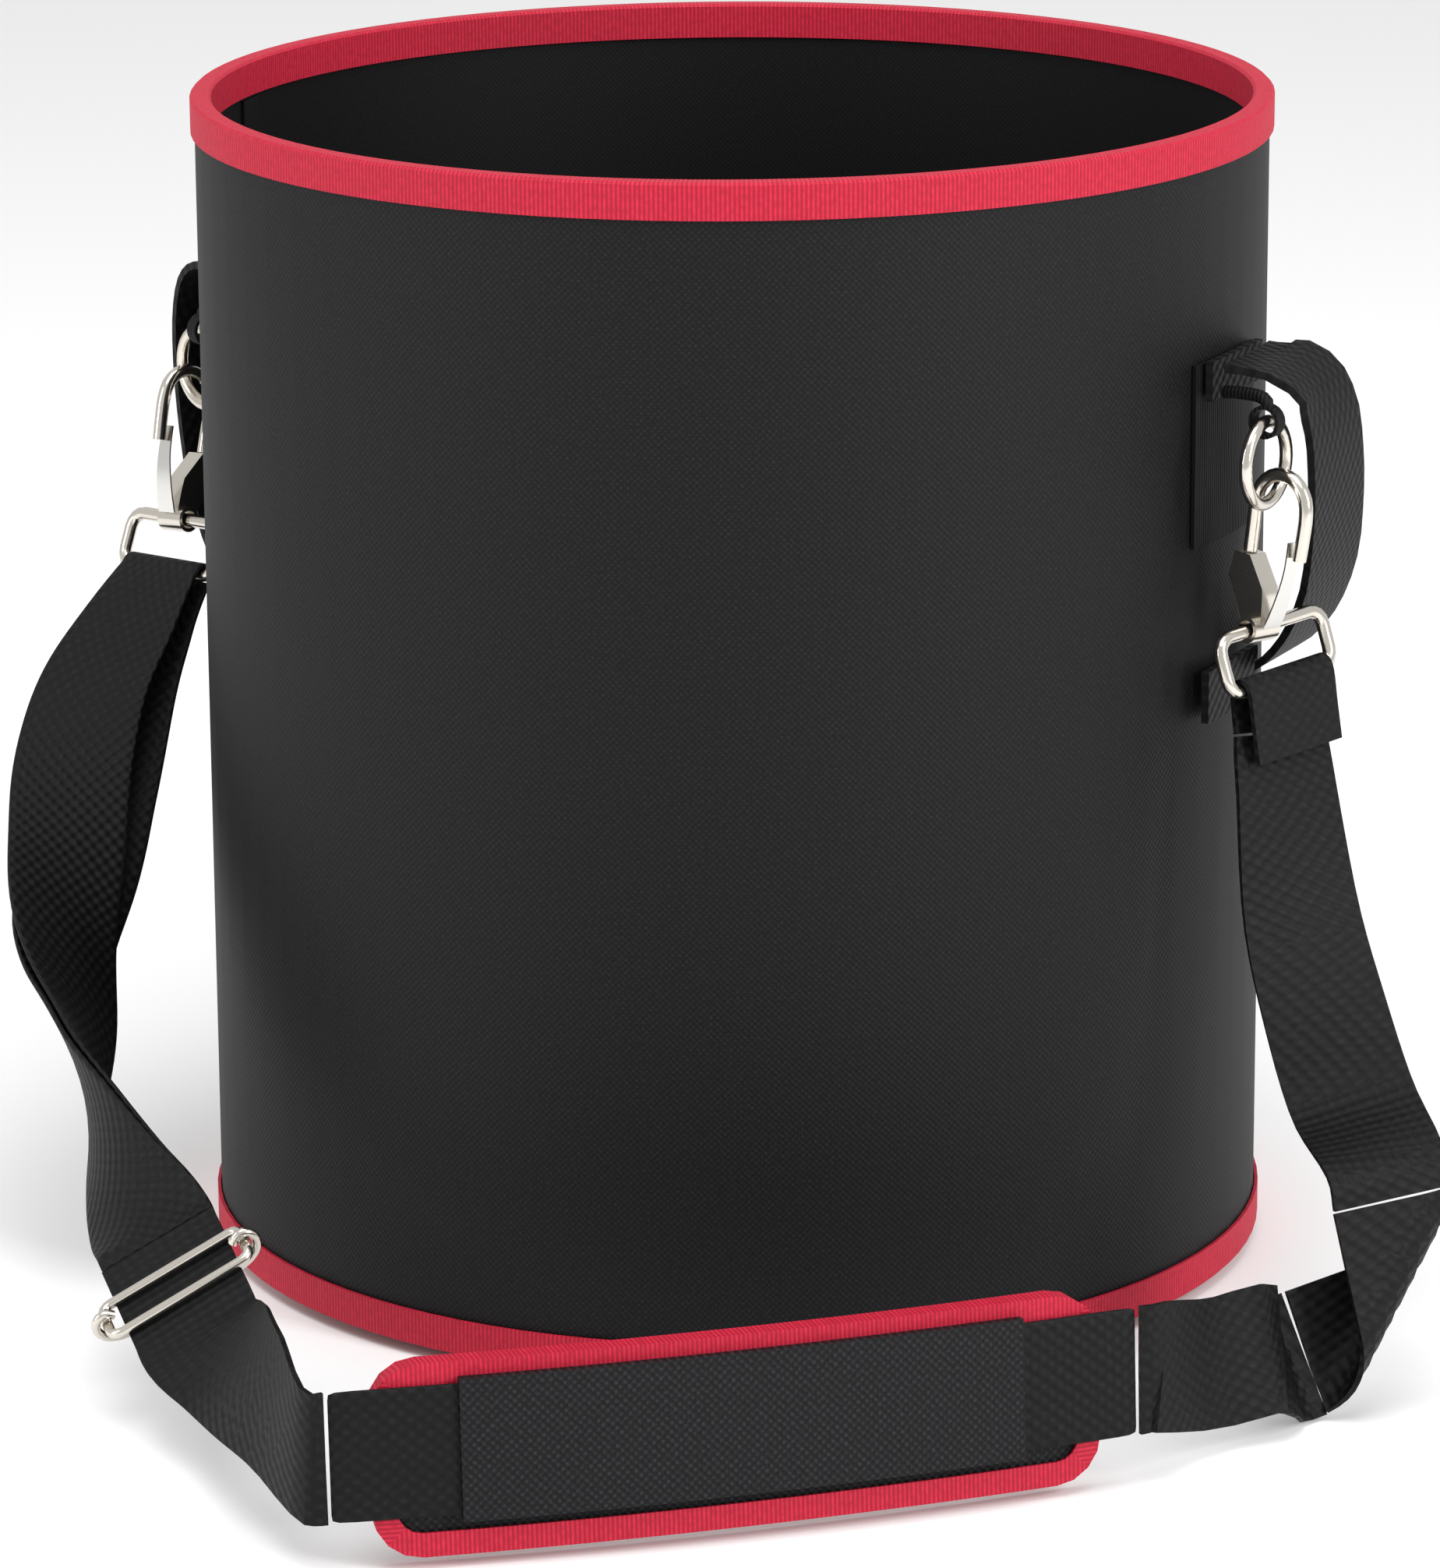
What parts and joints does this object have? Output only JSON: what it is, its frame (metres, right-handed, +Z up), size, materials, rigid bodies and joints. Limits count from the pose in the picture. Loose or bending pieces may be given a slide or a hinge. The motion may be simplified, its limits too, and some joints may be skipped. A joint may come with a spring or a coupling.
{
  "type": "garden tool bag",
  "caption": "Round fabric garden tool bag with taped edges, webbing side handles and a padded shoulder strap clipped to a ring on each side.",
  "frame": {"origin": "centre of the base's underside, on the floor", "axes": "+Z up; +X toward the side whose strap end is stitched; the strap and pad lie toward -Y"},
  "size_m": [0.483, 0.4993, 0.3641],
  "materials": {
    "oxford": "coarse matt oxford weave, near black",
    "lining": "smooth dark lining cloth",
    "board": "stiffening fibreboard, hidden",
    "binding_tape": "crimson grosgrain tape",
    "webbing": "ribbed polypropylene webbing, black",
    "pad_cloth": "padded mesh cloth, near black",
    "nickel_steel": "nickel-plated steel, polished",
    "spring_steel": "plated spring strip"
  },
  "bodies": {
    "bag": {"outer_wall": "oxford", "wall_board": "board", "lining_wall": "lining", "base_panel": "oxford", "base_board": "board", "base_lining": "lining", "top_binding": "binding_tape", "bottom_binding": "binding_tape", "wall_seam_tape": "lining", "handle_right": "webbing", "handle_left": "webbing", "side_patch_right": "webbing", "handle_foot_top_right": "webbing", "handle_foot_low_right": "webbing", "side_patch_left": "webbing", "handle_foot_top_left": "webbing", "handle_foot_low_left": "webbing", "ring_tab_right": "webbing", "ring_tab_left": "webbing"},
    "strap": {"hook_wire_right": "nickel_steel", "hook_body_right": "nickel_steel", "hook_wire_left": "nickel_steel", "hook_body_left": "nickel_steel", "strap_loop_right": "nickel_steel", "strap_loop_left": "nickel_steel", "strap_end_right": "webbing", "strap_run_right": "webbing", "strap_fold": "webbing", "strap_run_front": "webbing", "strap_run_pad": "webbing", "strap_run_left": "webbing", "strap_inner_left": "webbing", "strap_outer_left": "webbing"},
    "ring_right": {"ring_right": "nickel_steel"},
    "ring_left": {"ring_left": "nickel_steel"},
    "gate_right": {"hook_gate_right": "spring_steel"},
    "gate_left": {"hook_gate_left": "spring_steel"},
    "slider": {"slider_frame": "nickel_steel", "slider_bar": "nickel_steel", "strap_end_left": "webbing"},
    "pad": {"pad_cushion": "pad_cloth", "pad_binding": "binding_tape", "pad_sleeve": "oxford"}
  },
  "joints": [
    {"name": "strap_swing", "type": "hinge", "parent": "bag", "child": "strap", "pos_m": [0.1878, -0.022, 0.265], "axis": [-0.9995, 0.0295, 0.0147], "range_deg": [0, 49]},
    {"name": "ring_right_spin", "type": "hinge", "parent": "bag", "child": "ring_right", "pos_m": [0.1878, -0.022, 0.265], "axis": [0.9945, -0.1045, 0], "continuous": true},
    {"name": "ring_left_spin", "type": "hinge", "parent": "strap", "child": "ring_left", "pos_m": [-0.185, -0.011, 0.258], "axis": [0.4067, 0.9135, 0], "continuous": true},
    {"name": "gate_right_press", "type": "hinge", "parent": "strap", "child": "gate_right", "pos_m": [0.19016, -0.02161, 0.21492], "axis": [-0.3251, -0.9442, 0.0537], "range_deg": [0, 10], "stiffness_Nm_per_rad": 0.02},
    {"name": "gate_left_press", "type": "hinge", "parent": "strap", "child": "gate_left", "pos_m": [-0.19239, -0.02455, 0.21238], "axis": [-0.9471, 0.3077, -0.0912], "range_deg": [0, 10], "stiffness_Nm_per_rad": 0.02},
    {"name": "slider_slide", "type": "slide", "parent": "strap", "child": "slider", "axis": [0.6991, -0.6492, -0.2996], "range_m": [0, 0.012]},
    {"name": "pad_slide", "type": "hinge", "parent": "strap", "child": "pad", "pos_m": [-0.48499, 0.40307, -0.03418], "axis": [-0.0478, 0.0509, 0.9976], "range_deg": [-0.6, 0.6]}
  ]
}
